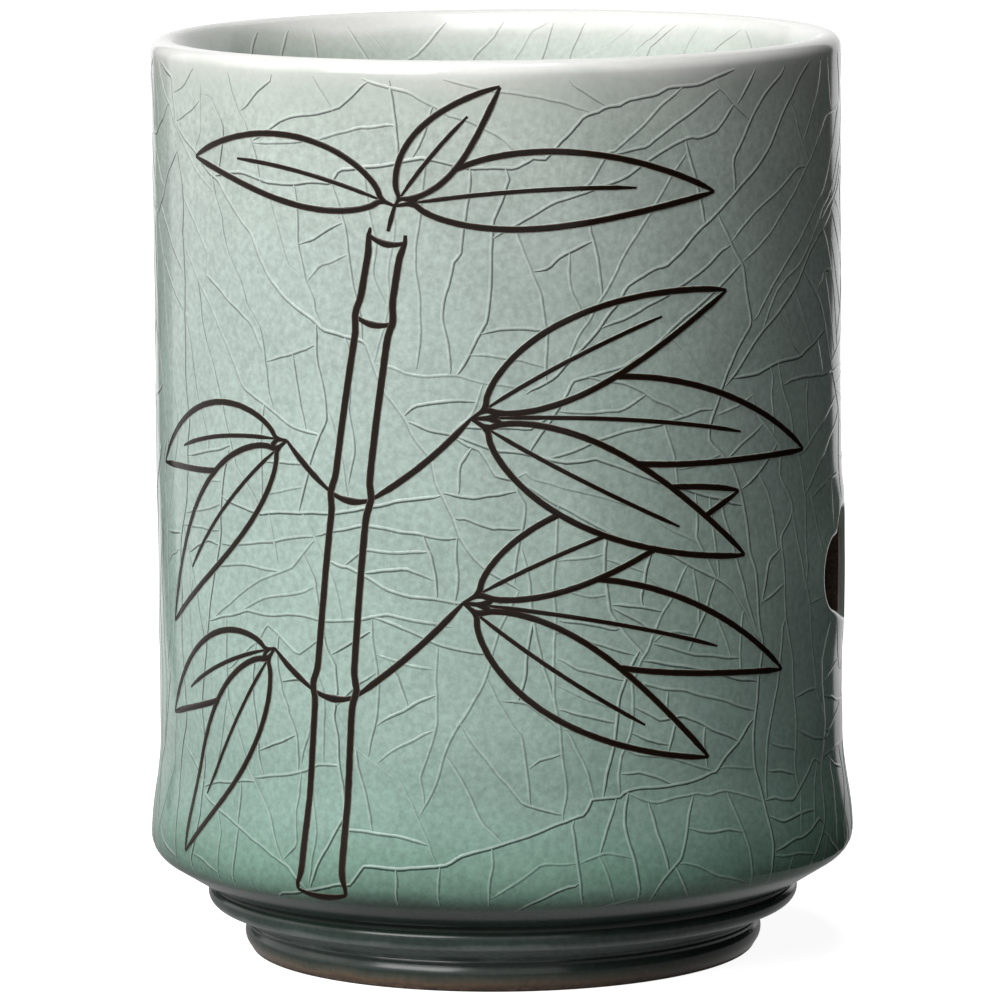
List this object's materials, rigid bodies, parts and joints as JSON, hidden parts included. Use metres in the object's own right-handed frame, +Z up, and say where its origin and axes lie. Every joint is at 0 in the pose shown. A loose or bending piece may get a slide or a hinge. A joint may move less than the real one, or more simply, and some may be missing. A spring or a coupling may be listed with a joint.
{
  "type": "brush holder pot",
  "caption": "Double-walled ceramic brush holder pot with a rounded lip, a stepped foot and heart-shaped windows through its outer wall.",
  "frame": {"origin": "middle of the foot's resting face, on the surface that the pot stands on", "axes": "+Z up along the pot's axis, out of its mouth; -Y faces the viewer, towards the drawn side; +X to the viewer's right, where the windows begin"},
  "size_m": [0.0825, 0.0824, 0.1075],
  "materials": {
    "celadon_glaze": "glossy blue-green crackle glaze over stoneware, with a thin iron-brown line drawing under it",
    "liner_glaze": "glossy pale crackle glaze, palest at the lip",
    "foot_glaze": "dark green glaze, pooled thick, over brown stoneware that is bare at the resting face",
    "fired_slip": "matt fired clay slip in the seams"
  },
  "bodies": {
    "root": {"outer_shell": "celadon_glaze", "inner_cup": "liner_glaze", "foot": "foot_glaze", "rim_slip": "fired_slip", "base_slip": "fired_slip", "cup_slip": "fired_slip"}
  },
  "joints": []
}
